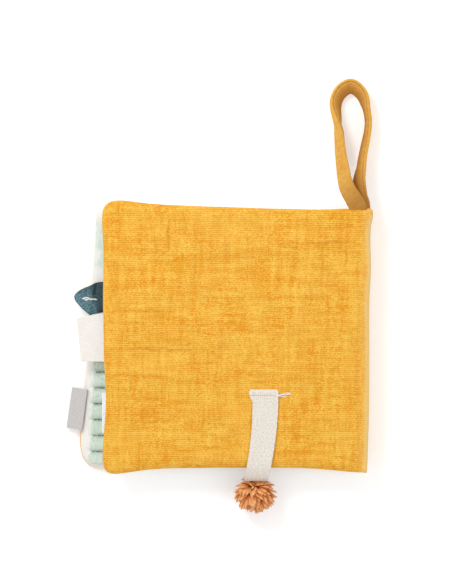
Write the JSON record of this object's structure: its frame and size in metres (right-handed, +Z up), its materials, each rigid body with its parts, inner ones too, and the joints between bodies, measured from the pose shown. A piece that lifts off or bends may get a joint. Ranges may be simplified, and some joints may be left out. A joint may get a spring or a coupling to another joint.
{
  "type": "crinkle cloth book",
  "caption": "Padded square cloth book with crinkle film in its covers and leaves, fabric tabs on the fore edge, a hanging loop and a sewn tail with a yarn pompom.",
  "frame": {"origin": "on the table under the middle of the closed book's bounding box, which includes the loop, the tabs and the tail", "axes": "+Z up out of the back cover, +Y towards the head of the book and its hanging loop, +X towards the spine"},
  "size_m": [0.1732, 0.248, 0.0261],
  "materials": {
    "muslin": "crinkled double gauze",
    "page_cloth": "plain cotton",
    "crinkle_film": "thin film",
    "wadding": "soft fibre",
    "mint_plush": "short pile in quilted rows",
    "teal_cloth": "chambray",
    "brushed_tape": "soft brushed",
    "woven_label": "tight weave",
    "satin_label": "satin",
    "linen_tape": "coarse linen",
    "thread": "twisted thread",
    "yarn": "cut yarn tufts"
  },
  "bodies": {
    "front_cover": {"front_cover_cloth": "muslin", "front_cover_lining": "page_cloth", "front_cover_film": "crinkle_film", "front_cover_wadding": "wadding", "spine_cloth_1": "muslin", "mint_patch": "mint_plush"},
    "leaf_1": {"leaf_1_lower_cloth": "page_cloth", "leaf_1_upper_cloth": "page_cloth", "leaf_1_film": "crinkle_film", "leaf_1_wadding": "wadding", "spine_cloth_2": "muslin", "binding_stitch": "thread"},
    "leaf_2": {"leaf_2_lower_cloth": "page_cloth", "leaf_2_upper_cloth": "page_cloth", "leaf_2_film": "crinkle_film", "leaf_2_wadding": "wadding", "spine_cloth_3": "muslin", "care_label": "satin_label"},
    "back_cover": {"back_cover_lining": "page_cloth", "back_cover_cloth": "muslin", "back_cover_film": "crinkle_film", "back_cover_wadding": "wadding", "spine_cloth_4": "muslin", "tail_anchor": "linen_tape", "tail_stitching": "thread"},
    "hang_loop": {"hang_loop": "muslin"},
    "tail": {"tail_strap": "linen_tape"},
    "pompom": {"tail_pompom": "yarn"},
    "side_label": {"side_label": "woven_label"},
    "teal_tab": {"teal_leaf_tab": "teal_cloth", "leaf_tab_stitch": "thread"},
    "cream_tab": {"cream_tab": "brushed_tape"}
  },
  "joints": [
    {"name": "front_gutter", "type": "hinge", "parent": "front_cover", "child": "leaf_1", "pos_m": [0.08462, -0.02647, 0.00695], "axis": [0.0179, 0.9998, 0], "range_deg": [0, 60]},
    {"name": "centre_gutter", "type": "hinge", "parent": "leaf_1", "child": "leaf_2", "pos_m": [0.08462, -0.02647, 0.01185], "axis": [0.0179, 0.9998, 0], "range_deg": [0, 60]},
    {"name": "back_gutter", "type": "hinge", "parent": "leaf_2", "child": "back_cover", "pos_m": [0.08462, -0.02647, 0.01675], "axis": [0.0179, 0.9998, 0], "range_deg": [0, 60]},
    {"name": "loop_swing", "type": "hinge", "parent": "back_cover", "child": "hang_loop", "pos_m": [0.0795, 0.0485, 0.0224], "axis": [1, 0, 0], "range_deg": [0, 150]},
    {"name": "tail_flap", "type": "hinge", "parent": "back_cover", "child": "tail", "pos_m": [0.02552, -0.05852, 0.02511], "axis": [-1, 0, 0], "range_deg": [0, 120]},
    {"name": "pompom_swing", "type": "hinge", "parent": "tail", "child": "pompom", "pos_m": [0.02012, -0.10467, 0.0183], "axis": [-1, 0, 0], "range_deg": [0, 30]},
    {"name": "label_flap", "type": "hinge", "parent": "front_cover", "child": "side_label", "pos_m": [-0.07643, -0.06517, 0.00594], "axis": [0.1357, 0.9907, 0], "range_deg": [0, 135]},
    {"name": "teal_tab_flap", "type": "hinge", "parent": "leaf_1", "child": "teal_tab", "pos_m": [-0.06309, -0.0022, 0.0102], "axis": [0, 1, 0], "range_deg": [0, 50]},
    {"name": "cream_tab_flap", "type": "hinge", "parent": "leaf_2", "child": "cream_tab", "pos_m": [-0.06308, -0.024, 0.01535], "axis": [0, 1, 0], "range_deg": [0, 50]}
  ]
}
